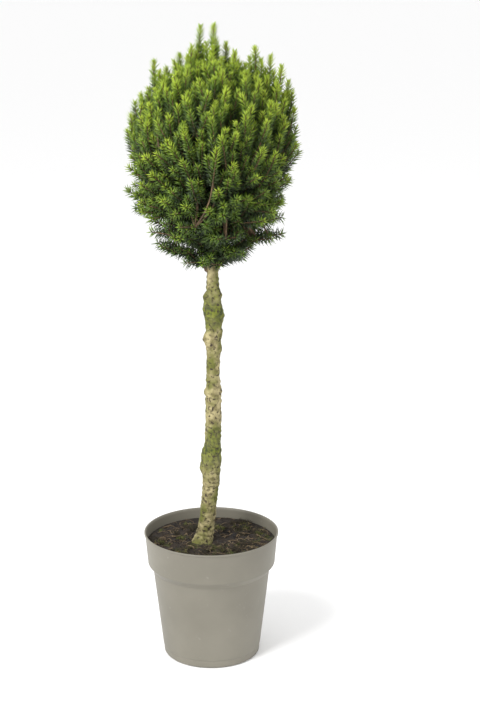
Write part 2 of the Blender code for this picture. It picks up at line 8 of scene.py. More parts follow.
import bpy
import numpy as np
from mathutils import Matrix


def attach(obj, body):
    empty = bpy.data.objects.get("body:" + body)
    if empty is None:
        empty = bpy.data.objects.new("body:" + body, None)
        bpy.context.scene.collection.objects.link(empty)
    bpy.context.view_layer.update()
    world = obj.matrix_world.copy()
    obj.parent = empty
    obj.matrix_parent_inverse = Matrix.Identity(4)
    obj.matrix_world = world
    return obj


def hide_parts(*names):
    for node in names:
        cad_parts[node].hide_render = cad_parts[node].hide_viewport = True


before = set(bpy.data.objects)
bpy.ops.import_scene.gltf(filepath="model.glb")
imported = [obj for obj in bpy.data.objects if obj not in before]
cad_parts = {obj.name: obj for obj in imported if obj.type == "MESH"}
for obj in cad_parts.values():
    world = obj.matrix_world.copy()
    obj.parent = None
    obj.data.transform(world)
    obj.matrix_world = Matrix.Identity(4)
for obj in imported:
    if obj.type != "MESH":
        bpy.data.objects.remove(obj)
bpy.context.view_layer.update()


# The floor, the light and the camera. A plain pale studio: a large soft light from the upper left
# and front, a weak one from the right, and a floor that catches a faint shadow.

CAMERA_PLACE = (0.0378, -1.89936, 0.91115)
CAMERA_PITCH = math.radians(15.063)
FOCAL_PIXELS = 1536.69
PICTURE_HEIGHT = 721
SENSOR = 36.0
FLOOR_SIDE = 60.0
FLOOR_LEVEL = -0.0004
FLOOR_WHITE = 0.97

# The picture is taller than it is wide, so the sensor spans its height.
camera_data = bpy.data.cameras.new("camera")
camera_data.sensor_width = SENSOR
camera_data.lens = SENSOR * FOCAL_PIXELS / PICTURE_HEIGHT
camera = bpy.data.objects.new("camera", camera_data)
camera.location = CAMERA_PLACE
camera.rotation_euler = (math.pi / 2 - CAMERA_PITCH, 0, 0)
bpy.context.scene.collection.objects.link(camera)
bpy.context.scene.camera = camera

world = bpy.data.worlds.new("studio")
world.use_nodes = True
world.node_tree.nodes["Background"].inputs["Color"].default_value = (1.0, 1.0, 1.0, 1.0)
world.node_tree.nodes["Background"].inputs["Strength"].default_value = 1.0
bpy.context.scene.world = world
bpy.context.scene.view_settings.view_transform = "Standard"


def area_light(name, place, aim, size, power):
    """A square soft light at a place, turned to an aim point."""
    data = bpy.data.lights.new(name, "AREA")
    data.size = size
    data.energy = power
    made = bpy.data.objects.new(name, data)
    made.location = place
    away = np.array(place) - np.array(aim)
    made.rotation_euler = (math.acos(away[2] / np.linalg.norm(away)), 0, math.atan2(away[0], -away[1]))
    bpy.context.scene.collection.objects.link(made)


area_light("key", place=(-1.1, -1.3, 1.9), aim=(0, 0, 0.5), size=0.8, power=50)
area_light("fill", place=(1.6, -1.2, 0.9), aim=(0, 0, 0.4), size=1.4, power=3)


def arrays_object(name, points, faces, material, smooth=True):
    """An object whose mesh is filled from an array of points and an array of triangles or quads."""
    mesh = bpy.data.meshes.new(name)
    corners = faces.shape[1]
    mesh.vertices.add(len(points))
    mesh.vertices.foreach_set("co", points.astype(np.float32).ravel())
    mesh.loops.add(faces.size)
    mesh.loops.foreach_set("vertex_index", faces.astype(np.int32).ravel())
    mesh.polygons.add(len(faces))
    mesh.polygons.foreach_set("loop_start", np.arange(0, faces.size, corners, dtype=np.int32))
    mesh.update(calc_edges=True)
    mesh.validate()
    if smooth:
        mesh.shade_smooth()
    mesh.materials.append(material)
    made = bpy.data.objects.new(name, mesh)
    bpy.context.scene.collection.objects.link(made)
    return made


def blank_material(name, roughness):
    """A Principled material, with its node tree and its shader to hand."""
    made = bpy.data.materials.new(name)
    made.use_nodes = True
    shader = made.node_tree.nodes["Principled BSDF"]
    shader.inputs["Roughness"].default_value = roughness
    return made, made.node_tree, shader


floor_paint, _, floor_shader = blank_material("floor_paint", 0.9)
floor_shader.inputs["Base Color"].default_value = (FLOOR_WHITE, FLOOR_WHITE, FLOOR_WHITE, 1)
floor_corners = np.array([(-1, -1, 0), (1, -1, 0), (1, 1, 0), (-1, 1, 0)])
floor_points = FLOOR_SIDE * floor_corners + (0, 0, FLOOR_LEVEL)
arrays_object("floor", floor_points, np.array([[0, 1, 2, 3]]), floor_paint, smooth=False)


# The pot. One moulding of matte taupe plastic: a tapered body, a thrown-out band and a thin
# rolled lip, faintly scuffed and dusty from the nursery bench.

POT_HEIGHT = 0.168
POT_LIP_RADIUS = 0.0884
POT_LIP_DEPTH = 0.0022
POT_BAND_TOP = POT_HEIGHT - 0.0026
POT_BAND_TOP_RADIUS = 0.0872
POT_BAND_RADIUS = 0.0838
POT_BAND_FOOT = 0.1262
POT_NECK = 0.1178
POT_NECK_RADIUS = 0.0770
POT_FOOT_RADIUS = 0.0636
POT_FOOT_BEVEL = 0.0018
POT_WALL = 0.0016
POT_FLOOR = 0.0030
POT_ROUNDING = 0.0008
POT_SIDES = 160
POLE_GAP = 0.001


def turned_grid(profile, sides):
    """Points of a profile of (radius, level) pairs carried round the Z axis: one row for each pair."""
    profile = np.array(profile, float)
    turn = np.linspace(0, 2 * math.pi, sides, endpoint=False)
    across = profile[:, :1] * np.cos(turn)
    deep = profile[:, :1] * np.sin(turn)
    level = np.repeat(profile[:, 1:], sides, axis=1)
    return np.stack((across, deep, level), axis=2)


def tube_faces(rows, sides):
    """Triangles between the rows of a tube, and a fan at each end.

    The points are the rows one after another, then the pole of the first row, then that of the last.
    """
    row, side = np.meshgrid(np.arange(rows - 1), np.arange(sides), indexing="ij")
    after = (side + 1) % sides
    a = row * sides + side
    b = row * sides + after
    c = (row + 1) * sides + after
    d = (row + 1) * sides + side
    walls = np.concatenate((np.stack((a, b, c), 2).reshape(-1, 3), np.stack((a, c, d), 2).reshape(-1, 3)))
    ring = np.arange(sides)
    beyond = (ring + 1) % sides
    first = np.full(sides, rows * sides)
    start = np.stack((beyond, ring, first), 1)
    end = np.stack(((rows - 1) * sides + ring, (rows - 1) * sides + beyond, first + 1), 1)
    return np.concatenate((walls, start, end))


def closed_tube(name, grid, material):
    """An object from rows of points, closed at each end by a fan to the row's middle."""
    rows, sides = grid.shape[:2]
    poles = np.stack((grid[0].mean(0), grid[-1].mean(0)))
    points = np.concatenate((grid.reshape(-1, 3), poles))
    return arrays_object(name, points, tube_faces(rows, sides), material)


def rounded(profile, radius, steps=4):
    """A profile with each inner corner cut short: a parabola bends from one of its arms to the other."""
    profile = np.array(profile, float)
    found = [profile[0]]
    for before, corner, after in zip(profile, profile[1:], profile[2:]):
        arms = [before - corner, after - corner]
        reach = [min(radius, 0.4 * np.linalg.norm(arm)) / np.linalg.norm(arm) for arm in arms]
        first, last = corner + reach[0] * arms[0], corner + reach[1] * arms[1]
        for t in np.linspace(0, 1, steps + 1):
            found.append((1 - t) ** 2 * first + 2 * t * (1 - t) * corner + t * t * last)
    return np.array(found + [profile[-1]])


# From the middle of the underside, up the outside, over the lip and down to the middle of the floor.
pot_profile = [
    (POLE_GAP, 0),
    (POT_FOOT_RADIUS - POT_FOOT_BEVEL, 0),
    (POT_FOOT_RADIUS, POT_FOOT_BEVEL),
    (POT_FOOT_RADIUS + 0.0004, 0.0105),
    (POT_FOOT_RADIUS + 0.0011, 0.0112),
    (POT_NECK_RADIUS - 0.0006, POT_NECK - 0.006),
    (POT_NECK_RADIUS, POT_NECK),
    (POT_BAND_RADIUS, POT_BAND_FOOT),
    (POT_BAND_TOP_RADIUS, POT_BAND_TOP),
    (POT_LIP_RADIUS, POT_HEIGHT - POT_LIP_DEPTH),
    (POT_LIP_RADIUS, POT_HEIGHT - 0.0002),
    (POT_LIP_RADIUS - 0.0006, POT_HEIGHT),
    (POT_LIP_RADIUS - 0.0018, POT_HEIGHT),
    (POT_BAND_TOP_RADIUS - POT_WALL, POT_BAND_TOP),
    (POT_BAND_RADIUS - POT_WALL, POT_BAND_FOOT + POT_WALL),
    (POT_NECK_RADIUS - POT_WALL, POT_NECK + POT_WALL),
    (POT_FOOT_RADIUS - POT_WALL, POT_FLOOR),
    (POLE_GAP, POT_FLOOR),
]
pot_grid = turned_grid(rounded(pot_profile, POT_ROUNDING), POT_SIDES)

# The sockets of a Mix node that mixes colours. Others share their names, so they go by number.
MIX_FIRST, MIX_LAST, MIX_RESULT = 6, 7, 2


def patches_group():
    """The group that puts patches on a surface: two colours mixed by noise on Object coordinates.

    The mask is the noise stretched so that Low becomes 0 and High becomes 1, and the colour goes
    from First to Last with it.
    """
    group = bpy.data.node_groups.new("patches", "ShaderNodeTree")
    for name in ("First", "Last"):
        group.interface.new_socket(name, in_out="INPUT", socket_type="NodeSocketColor")
    for name in ("Scale", "Low", "High", "Detail"):
        group.interface.new_socket(name, in_out="INPUT", socket_type="NodeSocketFloat")
    group.interface.new_socket("Colour", in_out="OUTPUT", socket_type="NodeSocketColor")
    group.interface.new_socket("Mask", in_out="OUTPUT", socket_type="NodeSocketFloat")
    given = group.nodes.new("NodeGroupInput")
    coordinates = group.nodes.new("ShaderNodeTexCoord")
    noise = group.nodes.new("ShaderNodeTexNoise")
    stretch = group.nodes.new("ShaderNodeMapRange")
    blend = group.nodes.new("ShaderNodeMix")
    blend.data_type = "RGBA"
    result = group.nodes.new("NodeGroupOutput")
    for source, target in (
        (coordinates.outputs["Object"], noise.inputs["Vector"]),
        (given.outputs["Scale"], noise.inputs["Scale"]),
        (given.outputs["Detail"], noise.inputs["Detail"]),
        (noise.outputs["Fac"], stretch.inputs["Value"]),
        (given.outputs["Low"], stretch.inputs["From Min"]),
        (given.outputs["High"], stretch.inputs["From Max"]),
        (stretch.outputs["Result"], blend.inputs["Factor"]),
        (given.outputs["First"], blend.inputs[MIX_FIRST]),
        (given.outputs["Last"], blend.inputs[MIX_LAST]),
        (blend.outputs[MIX_RESULT], result.inputs["Colour"]),
        (stretch.outputs["Result"], result.inputs["Mask"]),
    ):
        group.links.new(source, target)
    return group


PATCHES = patches_group()


def patches(shading, first, last, scale, low=0.35, high=0.65, detail=4.0):
    """Places the patches group. First and last are colours, or the colour that came out of another."""
    node = shading.nodes.new("ShaderNodeGroup")
    node.node_tree = PATCHES
    for name, colour in (("First", first), ("Last", last)):
        if isinstance(colour, tuple):
            node.inputs[name].default_value = (*colour, 1)
        else:
            shading.links.new(colour, node.inputs[name])
    for name, value in (("Scale", scale), ("Low", low), ("High", high), ("Detail", detail)):
        node.inputs[name].default_value = value
    return node.outputs["Colour"], node.outputs["Mask"]


def bump(shading, shader, height, distance, strength=1.0):
    """Feeds a height into the shader's normal."""
    node = shading.nodes.new("ShaderNodeBump")
    node.inputs["Distance"].default_value = distance
    node.inputs["Strength"].default_value = strength
    shading.links.new(height, node.inputs["Height"])
    shading.links.new(node.outputs["Normal"], shader.inputs["Normal"])


plastic, shading, shader = blank_material("pot_plastic", 0.5)
clean, _ = patches(shading, (0.160, 0.148, 0.116), (0.200, 0.186, 0.148), 9.0)
scuffed, grain = patches(shading, clean, (0.24, 0.23, 0.20), 160.0, low=0.66, high=0.86, detail=8.0)
shading.links.new(scuffed, shader.inputs["Base Color"])
bump(shading, shader, grain, 0.0001, 0.5)

pot = closed_tube("pot_body", pot_grid, plastic)
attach(pot, "root")
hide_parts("pot")


# The compost. Dark moist peat, heaped a little and rough on top. It fills the pot to 14 mm below
# its lip, and the stem stands in it a little left of the middle.

SOIL_TOP = 0.1540
SOIL_RADIUS = 0.0838
SOIL_SPAN = 0.0770
SOIL_HEAP = 0.0004
LUMP_HEIGHT = 0.0015
CRUMB_HEIGHT = 0.0006
SOIL_ROWS = 110
SOIL_SIDES = 220
STEM_FOOT_X = -0.0090
draw = np.random.default_rng(4)


def wandering(u, v, waves, draw, finest):
    """A smooth random field: sine waves with random directions, lengths and phases, summed.

    The sum is divided by the square root of their number, so that its height is about 1.
    """
    total = np.zeros(np.broadcast(u, v).shape)
    for _ in range(waves):
        turn, phase = draw.uniform(0, 2 * math.pi, 2)
        rate = draw.uniform(0.25, 1.0) * finest
        total += np.sin(rate * (u * math.cos(turn) + v * math.sin(turn)) + phase)
    return total / math.sqrt(waves)


# Rings that shrink from the pot's wall to the stem, and shift to its foot as they do.
soil_share = np.linspace(0, 1, SOIL_ROWS)[:, None]
soil_turn = np.linspace(0, 2 * math.pi, SOIL_SIDES, endpoint=False)[None, :]
soil_reach = SOIL_RADIUS - soil_share * SOIL_SPAN
soil_x = soil_reach * np.cos(soil_turn) + STEM_FOOT_X * soil_share
soil_y = soil_reach * np.sin(soil_turn)
lumps = LUMP_HEIGHT * wandering(soil_x, soil_y, 18, draw, finest=500)
crumbly = lumps + CRUMB_HEIGHT * wandering(soil_x, soil_y, 26, draw, finest=1900)
calm = np.clip(soil_share * 12, 0, 1) * np.clip((1 - soil_share) * 8 + 0.25, 0, 1)
soil_top = np.stack((soil_x, soil_y, SOIL_TOP + SOIL_HEAP + crumbly * calm), axis=2)

# Radius and level of the peat's side, a little inside the pot's wall.
soil_wall = [
    (0.058, POT_FLOOR + 0.0006),
    (0.0610, POT_FLOOR + 0.0006),
    (0.0745, POT_NECK),
    (0.0815, POT_BAND_FOOT + 0.003),
]
soil_grid = np.concatenate((turned_grid(soil_wall, SOIL_SIDES), soil_top))

peat, shading, shader = blank_material("peat", 0.95)
dark, _ = patches(shading, (0.006, 0.004, 0.003), (0.026, 0.017, 0.010), 90.0)
mossy, _ = patches(shading, dark, (0.060, 0.070, 0.012), 34.0, low=0.60, high=0.68)
flecked, crumbs = patches(shading, mossy, (0.085, 0.058, 0.034), 420.0, low=0.64, high=0.76, detail=8.0)
shading.links.new(flecked, shader.inputs["Base Color"])
bump(shading, shader, crumbs, 0.0008)
soil = closed_tube("peat_surface", soil_grid, peat)
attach(soil, "root")
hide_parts("potting_compost")


# The fibres. Straw-coloured scraps of root and twig that lie about on the peat, curled a little,
# and some of them half sunk in it.

FIBRES = 300
FIBRE_ROWS = 6
FIBRE_SIDES = 5
FIBRE_SPREAD = 0.080
FIBRE_EDGE = 0.0815

# A direction that no fibre or twig runs along, to square the rings of a tube by.
SLANT = (0.31, 0.93, 0.19)


def many_tubes(paths, radii, sides):
    """Closed tubes along many paths at once: rings square to the path's run, a pole at each end."""
    count, rows = paths.shape[:2]
    run = np.gradient(paths, axis=1)
    run /= np.linalg.norm(run, axis=2, keepdims=True) + 1e-12
    side = np.cross(run, SLANT)
    side /= np.linalg.norm(side, axis=2, keepdims=True) + 1e-12
    other = np.cross(run, side)
    turn = np.linspace(0, 2 * math.pi, sides, endpoint=False)[None, None, :, None]
    rings = np.cos(turn) * side[:, :, None] + np.sin(turn) * other[:, :, None]
    points = paths[:, :, None] + radii[:, :, None, None] * rings
    first = paths[:, :1] - 0.3 * radii[:, :1, None] * run[:, :1]
    last = paths[:, -1:] + 0.6 * radii[:, -1:, None] * run[:, -1:]
    points = np.concatenate((points.reshape(count, rows * sides, 3), first, last), axis=1)
    faces = tube_faces(rows, sides)
    shift = (np.arange(count) * (rows * sides + 2))[:, None, None]
    return points.reshape(-1, 3), (faces[None] + shift).reshape(-1, 3)


fibre_turn = draw.uniform(0, 2 * math.pi, FIBRES)
fibre_reach = FIBRE_SPREAD * np.sqrt(draw.uniform(0.06, 0.98, FIBRES))
fibre_way = draw.uniform(0, 2 * math.pi, FIBRES)
fibre_length = draw.uniform(0.003, 0.016, FIBRES)[:, None]
along = np.linspace(-0.5, 0.5, FIBRE_ROWS)[None, :]
curl = draw.uniform(-1.2, 1.2, FIBRES)[:, None]
heading = fibre_way[:, None] + curl * along
fibre_x = (fibre_reach * np.cos(fibre_turn))[:, None] + fibre_length * along * np.cos(heading)
fibre_y = (fibre_reach * np.sin(fibre_turn))[:, None] + fibre_length * along * np.sin(heading)
fibre_level = SOIL_TOP + 0.0014 + draw.uniform(-0.0006, 0.0014, FIBRES)[:, None]
fibre_level = fibre_level + 0.0006 * np.cos(5 * along)
fibres = np.stack((fibre_x, fibre_y, fibre_level), axis=2)
from_middle = np.hypot(fibre_x, fibre_y)[:, :, None]
fibres[:, :, :2] *= np.minimum(1, FIBRE_EDGE / from_middle)
fibre_radius = np.repeat(draw.uniform(0.0002, 0.0007, FIBRES)[:, None], FIBRE_ROWS, axis=1)

straw, shading, shader = blank_material("peat_fibre", 0.9)
straw_colour, _ = patches(shading, (0.045, 0.028, 0.015), (0.20, 0.145, 0.080), 120.0)
shading.links.new(straw_colour, shader.inputs["Base Color"])
litter = arrays_object("peat_fibres", *many_tubes(fibres, fibre_radius, FIBRE_SIDES), straw)
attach(litter, "root")


# The moss. Low tufts that grow on the peat in patches, most of them brown and some green. Each
# sprig is a short spike that leans its own way.

SPRIGS = 5200
SPRIG_WIDTH = 0.0005
SPIKE_WAIST = 0.35
SPIKE_SLANT = (0.17, 0.29, 0.94)
MOSS_PATCHES = 46
MOSS_SPREAD = 0.078
MOSS_PATCH_SIZE = 0.0042
MOSS_EDGE = 0.0805


def spikes(roots, ways, lengths, widths):
    """Many spikes at once, each of two three-sided pyramids base to base: a short one, then a long one."""
    side = np.cross(ways, SPIKE_SLANT)
    side /= np.linalg.norm(side, axis=1, keepdims=True)
    other = np.cross(ways, side)
    waist = roots + SPIKE_WAIST * lengths[:, None] * ways
    turn = np.arange(3) * 2 * math.pi / 3
    ring = waist[:, None] + widths[:, None, None] * (
        np.cos(turn)[None, :, None] * side[:, None] + np.sin(turn)[None, :, None] * other[:, None]
    )
    ends = roots + lengths[:, None] * ways
    points = np.concatenate((roots[:, None], ring, ends[:, None]), axis=1)
    faces = np.array([(1, 2, 4), (2, 3, 4), (3, 1, 4), (2, 1, 0), (3, 2, 0), (1, 3, 0)])
    shift = (np.arange(len(roots)) * 5)[:, None, None]
    return points.reshape(-1, 3), (faces[None] + shift).reshape(-1, 3)


patch_turn = draw.uniform(0, 2 * math.pi, MOSS_PATCHES)
patch_reach = MOSS_SPREAD * np.sqrt(draw.uniform(0.08, 1, (MOSS_PATCHES, 1)))
patch_place = np.stack((np.cos(patch_turn), np.sin(patch_turn)), 1) * patch_reach
sprig_patch = draw.integers(0, MOSS_PATCHES, SPRIGS)
sprig_home = patch_place[sprig_patch] + draw.normal(0, MOSS_PATCH_SIZE, (SPRIGS, 2))
sprig_home *= np.minimum(1, MOSS_EDGE / np.hypot(*sprig_home.T))[:, None]
sprig_root = np.column_stack((sprig_home, SOIL_TOP + draw.uniform(-0.0012, 0.0012, SPRIGS)))
sprig_way = draw.normal(0, 0.62, (SPRIGS, 3)) + (0, 0, 0.75)
sprig_way /= np.linalg.norm(sprig_way, axis=1, keepdims=True)
sprig_length = draw.uniform(0.0022, 0.0062, SPRIGS)

moss, shading, shader = blank_material("moss", 0.8)
brown_moss, _ = patches(shading, (0.014, 0.012, 0.005), (0.050, 0.036, 0.016), 160.0)
green_moss, _ = patches(shading, brown_moss, (0.085, 0.095, 0.012), 60.0, low=0.52, high=0.66)
shading.links.new(green_moss, shader.inputs["Base Color"])
sprig_arrays = spikes(sprig_root, sprig_way, sprig_length, np.full(SPRIGS, SPRIG_WIDTH))
tufts = arrays_object("moss_tufts", *sprig_arrays, moss, smooth=False)
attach(tufts, "root")


# The stem. Pale tan bark, greened by algae, with healed knots, a mossy swelling low down and a
# burl where the crown was grafted on. It leans off its foot and runs whole up into the crown.

STEM_X = 0.0035
STEM_STRAIGHT_FROM = 0.330
STEM_CLEAR_TO = 0.500
STEM_TIP = 0.664
STEM_FOOT_RADIUS = 0.0106
STEM_CLEAR_RADIUS = 0.0076
STEM_TIP_RADIUS = 0.0032
STEM_ROUND = 0.011
STEM_ROWS = 460
STEM_SIDES = 96
ROOT_FLARE = 0.0034
ROOT_FLARE_RISE = 0.0095
FURROW_DEPTH = 0.00028
LUMPS_HEIGHT = 0.00030
BURL_LUMPS_HEIGHT = 0.0008
GRAIN_HEIGHT = 0.00026
RIDGE_HEIGHT = 0.00030

# Level, height and spread of each swelling.
SWELLINGS = ((0.264, 0.0030, 0.020), (0.335, 0.0009, 0.016), (0.428, 0.0022, 0.011), (0.464, 0.0054, 0.012))

# Level, bearing in degrees, height and spread of each knot that shows. A negative height is a pit.
KNOTS = (
    (0.487, -20, 0.0034, 0.0038),
    (0.484, 185, 0.0040, 0.0036),
    (0.4285, 180, 0.0030, 0.0040),
    (0.437, -15, 0.0025, 0.0038),
    (0.415, 0, 0.0020, 0.0040),
    (0.3605, -5, 0.0030, 0.0036),
    (0.359, 180, 0.0032, 0.0034),
    (0.262, -85, 0.0020, 0.0060),
    (0.262, -85, -0.0026, 0.0028),
    (0.273, 175, 0.0028, 0.0048),
    (0.255, 190, 0.0030, 0.0056),
    (0.392, -62, -0.0022, 0.0026),
    (0.300, -30, 0.0014, 0.0040),
    (0.205, -110, 0.0012, 0.0050),
    (0.330, -120, -0.0012, 0.0030),
)
SMALL_KNOTS = 70

# Middle and half height of the two stretches that moss has grown over.
MOSSY_STRETCHES = ((0.466, 0.034), (0.282, 0.044))


def stem_x(level):
    """The centre line: a power curve off the foot that comes upright."""
    left = np.maximum(STEM_STRAIGHT_FROM - level, 0) / (STEM_STRAIGHT_FROM - SOIL_TOP)
    return STEM_X + (STEM_FOOT_X - STEM_X) * left**1.8


def taper(level, start, end, first, last):
    """A straight line from the first radius at the start to the last one at the end."""
    return first + (last - first) * (level - start) / (end - start)


def stem_radius(level):
    """Two straight tapers, with a bell curve for each swelling."""
    clear = taper(level, SOIL_TOP, STEM_CLEAR_TO, STEM_FOOT_RADIUS, STEM_CLEAR_RADIUS)
    inside = taper(level, STEM_CLEAR_TO, STEM_TIP, STEM_CLEAR_RADIUS, STEM_TIP_RADIUS)
    radius = np.where(level < STEM_CLEAR_TO, clear, inside)
    for middle, height, spread in SWELLINGS:
        radius = radius + height * np.exp(-(((level - middle) / spread) ** 2) / 2)
    return radius


knots = np.array(KNOTS)
knot_level = np.concatenate((knots[:, 0], draw.uniform(0.165, 0.49, SMALL_KNOTS)))
knot_turn = np.concatenate((np.radians(knots[:, 1]), draw.uniform(0, 2 * math.pi, SMALL_KNOTS)))
knot_height = np.concatenate((knots[:, 2], draw.uniform(-0.0007, 0.0013, SMALL_KNOTS)))
knot_spread = np.concatenate((knots[:, 3], draw.uniform(0.0018, 0.0042, SMALL_KNOTS)))

# The radius is the taper, a bell for each knot, a flare at the foot that is widest on the left, and
# four random fields: long furrows, lumps that are coarse on the burl and swelling, grain, and ridges
# across the stem.
level = np.linspace(SOIL_TOP - 0.002, STEM_TIP, STEM_ROWS)[:, None]
turn = np.linspace(0, 2 * math.pi, STEM_SIDES, endpoint=False)[None, :]
round_x, round_y = STEM_ROUND * np.cos(turn), STEM_ROUND * np.sin(turn)
radius = stem_radius(level) + 0 * turn
for middle, where, rise, spread in zip(knot_level, knot_turn, knot_height, knot_spread):
    across = (np.mod(turn - where + math.pi, 2 * math.pi) - math.pi) * STEM_ROUND
    radius = radius + rise * np.exp(-((level - middle) ** 2 + across**2) / (2 * spread**2))
radius = radius + ROOT_FLARE * np.exp(-(level - SOIL_TOP) / ROOT_FLARE_RISE) * (1 - 0.75 * np.cos(turn))
coarse = np.exp(-(((level - 0.464) / 0.020) ** 2)) + 0.6 * np.exp(-(((level - 0.268) / 0.030) ** 2))
furrows = wandering(round_x * 260 + 0 * level, round_y * 260 + level * 60, 14, draw, 1.0)
lumps = wandering(round_x * 320 + level * 210, round_y * 320 - level * 260, 18, draw, 1.0)
grain = wandering(round_x * 900 + level * 700, round_y * 900 - level * 900, 30, draw, 1.0)
ridges = wandering(level * 1500 + round_x * 160, round_y * 240 + level * 320, 16, draw, 1.0)
radius = radius + FURROW_DEPTH * furrows + (LUMPS_HEIGHT + BURL_LUMPS_HEIGHT * coarse) * lumps
radius = radius + GRAIN_HEIGHT * grain + RIDGE_HEIGHT * ridges
stem_across = stem_x(level) + radius * np.cos(turn)
stem_grid = np.stack((stem_across, radius * np.sin(turn), level + 0 * turn), axis=2)


def height_band(shading, middle, half):
    """A mask that is 1 at a level, and falls straight to 0 half a band above it and below it."""
    coordinates = shading.nodes.new("ShaderNodeTexCoord")
    axes = shading.nodes.new("ShaderNodeSeparateXYZ")
    away = shading.nodes.new("ShaderNodeMath")
    away.operation = "SUBTRACT"
    away.inputs[1].default_value = middle
    apart = shading.nodes.new("ShaderNodeMath")
    apart.operation = "ABSOLUTE"
    fade = shading.nodes.new("ShaderNodeMapRange")
    fade.inputs["From Max"].default_value = half
    fade.inputs["To Min"].default_value = 1.0
    fade.inputs["To Max"].default_value = 0.0
    shading.links.new(coordinates.outputs["Object"], axes.inputs["Vector"])
    shading.links.new(axes.outputs["Z"], away.inputs[0])
    shading.links.new(away.outputs[0], apart.inputs[0])
    shading.links.new(apart.outputs[0], fade.inputs["Value"])
    return fade.outputs["Result"]


bark, shading, shader = blank_material("stem_bark", 0.85)
pale, _ = patches(shading, (0.150, 0.125, 0.050), (0.430, 0.370, 0.190), 120.0)
greened, _ = patches(shading, pale, (0.115, 0.120, 0.020), 40.0, low=0.42, high=0.62)
moss_green, _ = patches(shading, (0.030, 0.040, 0.008), (0.150, 0.170, 0.014), 190.0)
for middle, half in MOSSY_STRETCHES:
    layer = shading.nodes.new("ShaderNodeMix")
    layer.data_type = "RGBA"
    shading.links.new(height_band(shading, middle, half), layer.inputs["Factor"])
    shading.links.new(greened, layer.inputs[MIX_FIRST])
    shading.links.new(moss_green, layer.inputs[MIX_LAST])
    greened = layer.outputs[MIX_RESULT]
pitted, pits = patches(shading, greened, (0.040, 0.028, 0.015), 260.0, low=0.54, high=0.66, detail=6.0)
shading.links.new(pitted, shader.inputs["Base Color"])
bump(shading, shader, pits, -0.0006)
stem = closed_tube("stem_bark", stem_grid, bark)
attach(stem, "root")
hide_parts("trunk")


# The boughs. Thin brown limbs: eight climb from the stem into the dense crown, and ten low ones
# spread under it. One more carries the stem's tip on up to the leading shoots.

UP = np.array((0.0, 0.0, 1.0))
GOLDEN_ANGLE = math.pi * (3 - math.sqrt(5))
FLANKS = 8
FLANK_FIRST_BEARING = 12
FLANK_LEVEL = 0.685
FLANK_DISTANCE = 0.060
FLANK_CLIMB = math.radians(46)
FLANK_STIFFNESS = 0.5
FLANK_ROOT_LEVEL = 0.578
FLANK_ROOT_SPREAD = 0.034
SKIRT_CLIMB = math.radians(9)
SKIRT_STIFFNESS = 0.55
LEADER_TOP = 0.770
LIMB_ROWS = 24
LIMB_SIDES = 10
LIMB_ROOT_RADIUS = 0.0029
LIMB_TIP_RADIUS = 0.0011
LIMB_SUNK = 0.6
LIMB_ROUGHNESS = 0.10

# Bearing in degrees, level and distance of the tip, level of the root, and share that is bare.
SKIRT = (
    (2.0, 0.562, 0.074, 0.532, 0.26),
    (30.0, 0.577, 0.086, 0.556, 0.24),
    (-38.0, 0.544, 0.046, 0.518, 0.20),
    (-72.0, 0.568, 0.056, 0.542, 0.24),
    (-108.0, 0.584, 0.066, 0.562, 0.24),
    (-144.0, 0.570, 0.066, 0.544, 0.24),
    (-176.0, 0.546, 0.057, 0.515, 0.18),
    (174.0, 0.594, 0.092, 0.572, 0.60),
    (130.0, 0.560, 0.064, 0.530, 0.28),
    (84.0, 0.570, 0.070, 0.543, 0.28),
)


def outward_of(degrees):
    """The level way out from the stem at each bearing: its cosine and sine."""
    turn = np.radians(degrees)
    return np.stack((np.cos(turn), np.sin(turn), 0 * turn), axis=-1)


def bends(starts, ends, arrivals, rows, stiffness):
    """Many soft bends at once: each is a parabola from its start to its end that arrives the given way."""
    reach = np.linalg.norm(ends - starts, axis=1, keepdims=True)
    elbows = ends - stiffness * reach * arrivals
    t = np.linspace(0, 1, rows)[None, :, None]
    return (1 - t) ** 2 * starts[:, None] + 2 * t * (1 - t) * elbows[:, None] + t * t * ends[:, None]


def stem_point(level):
    """The stem's centre line at each level."""
    level = np.asarray(level, float)
    return np.stack((stem_x(level), 0 * level, level), axis=-1)


def limb_start(root_level, outward):
    """Where a limb leaves the stem: well inside its bark, on the side that the limb goes to."""
    return stem_point(root_level) + (stem_radius(root_level) * LIMB_SUNK)[:, None] * outward


flank_bearing = FLANK_FIRST_BEARING + 360 * np.arange(FLANKS) / FLANKS
flank_order = np.arange(FLANKS) * GOLDEN_ANGLE / (2 * math.pi) % 1
flank_root_level = FLANK_ROOT_LEVEL + FLANK_ROOT_SPREAD * flank_order
flank_out = outward_of(flank_bearing)
flank_end = stem_point(np.full(FLANKS, FLANK_LEVEL)) + FLANK_DISTANCE * flank_out
flank_arrival = math.cos(FLANK_CLIMB) * flank_out + math.sin(FLANK_CLIMB) * UP
flank_start = limb_start(flank_root_level, flank_out)
flank_limbs = bends(flank_start, flank_end, flank_arrival, LIMB_ROWS, FLANK_STIFFNESS)

skirt_bearing, skirt_level, skirt_distance, skirt_root_level, skirt_bare = np.array(SKIRT).T
skirt_out = outward_of(skirt_bearing)
skirt_end = stem_point(skirt_level) + skirt_distance[:, None] * skirt_out
skirt_arrival = math.cos(SKIRT_CLIMB) * skirt_out + math.sin(SKIRT_CLIMB) * UP
skirt_start = limb_start(skirt_root_level, skirt_out)
skirt_limbs = bends(skirt_start, skirt_end, skirt_arrival, LIMB_ROWS, SKIRT_STIFFNESS)

leader_limb = bends(stem_point([STEM_TIP - 0.004]), stem_point([LEADER_TOP]), UP[None], LIMB_ROWS, 0.5)

limbs = np.concatenate((flank_limbs, skirt_limbs, leader_limb))
limb_radius = np.linspace(LIMB_ROOT_RADIUS, LIMB_TIP_RADIUS, LIMB_ROWS)[None, :] * np.ones((len(limbs), 1))
limb_radius = limb_radius * (1 + LIMB_ROUGHNESS * draw.standard_normal(limb_radius.shape))

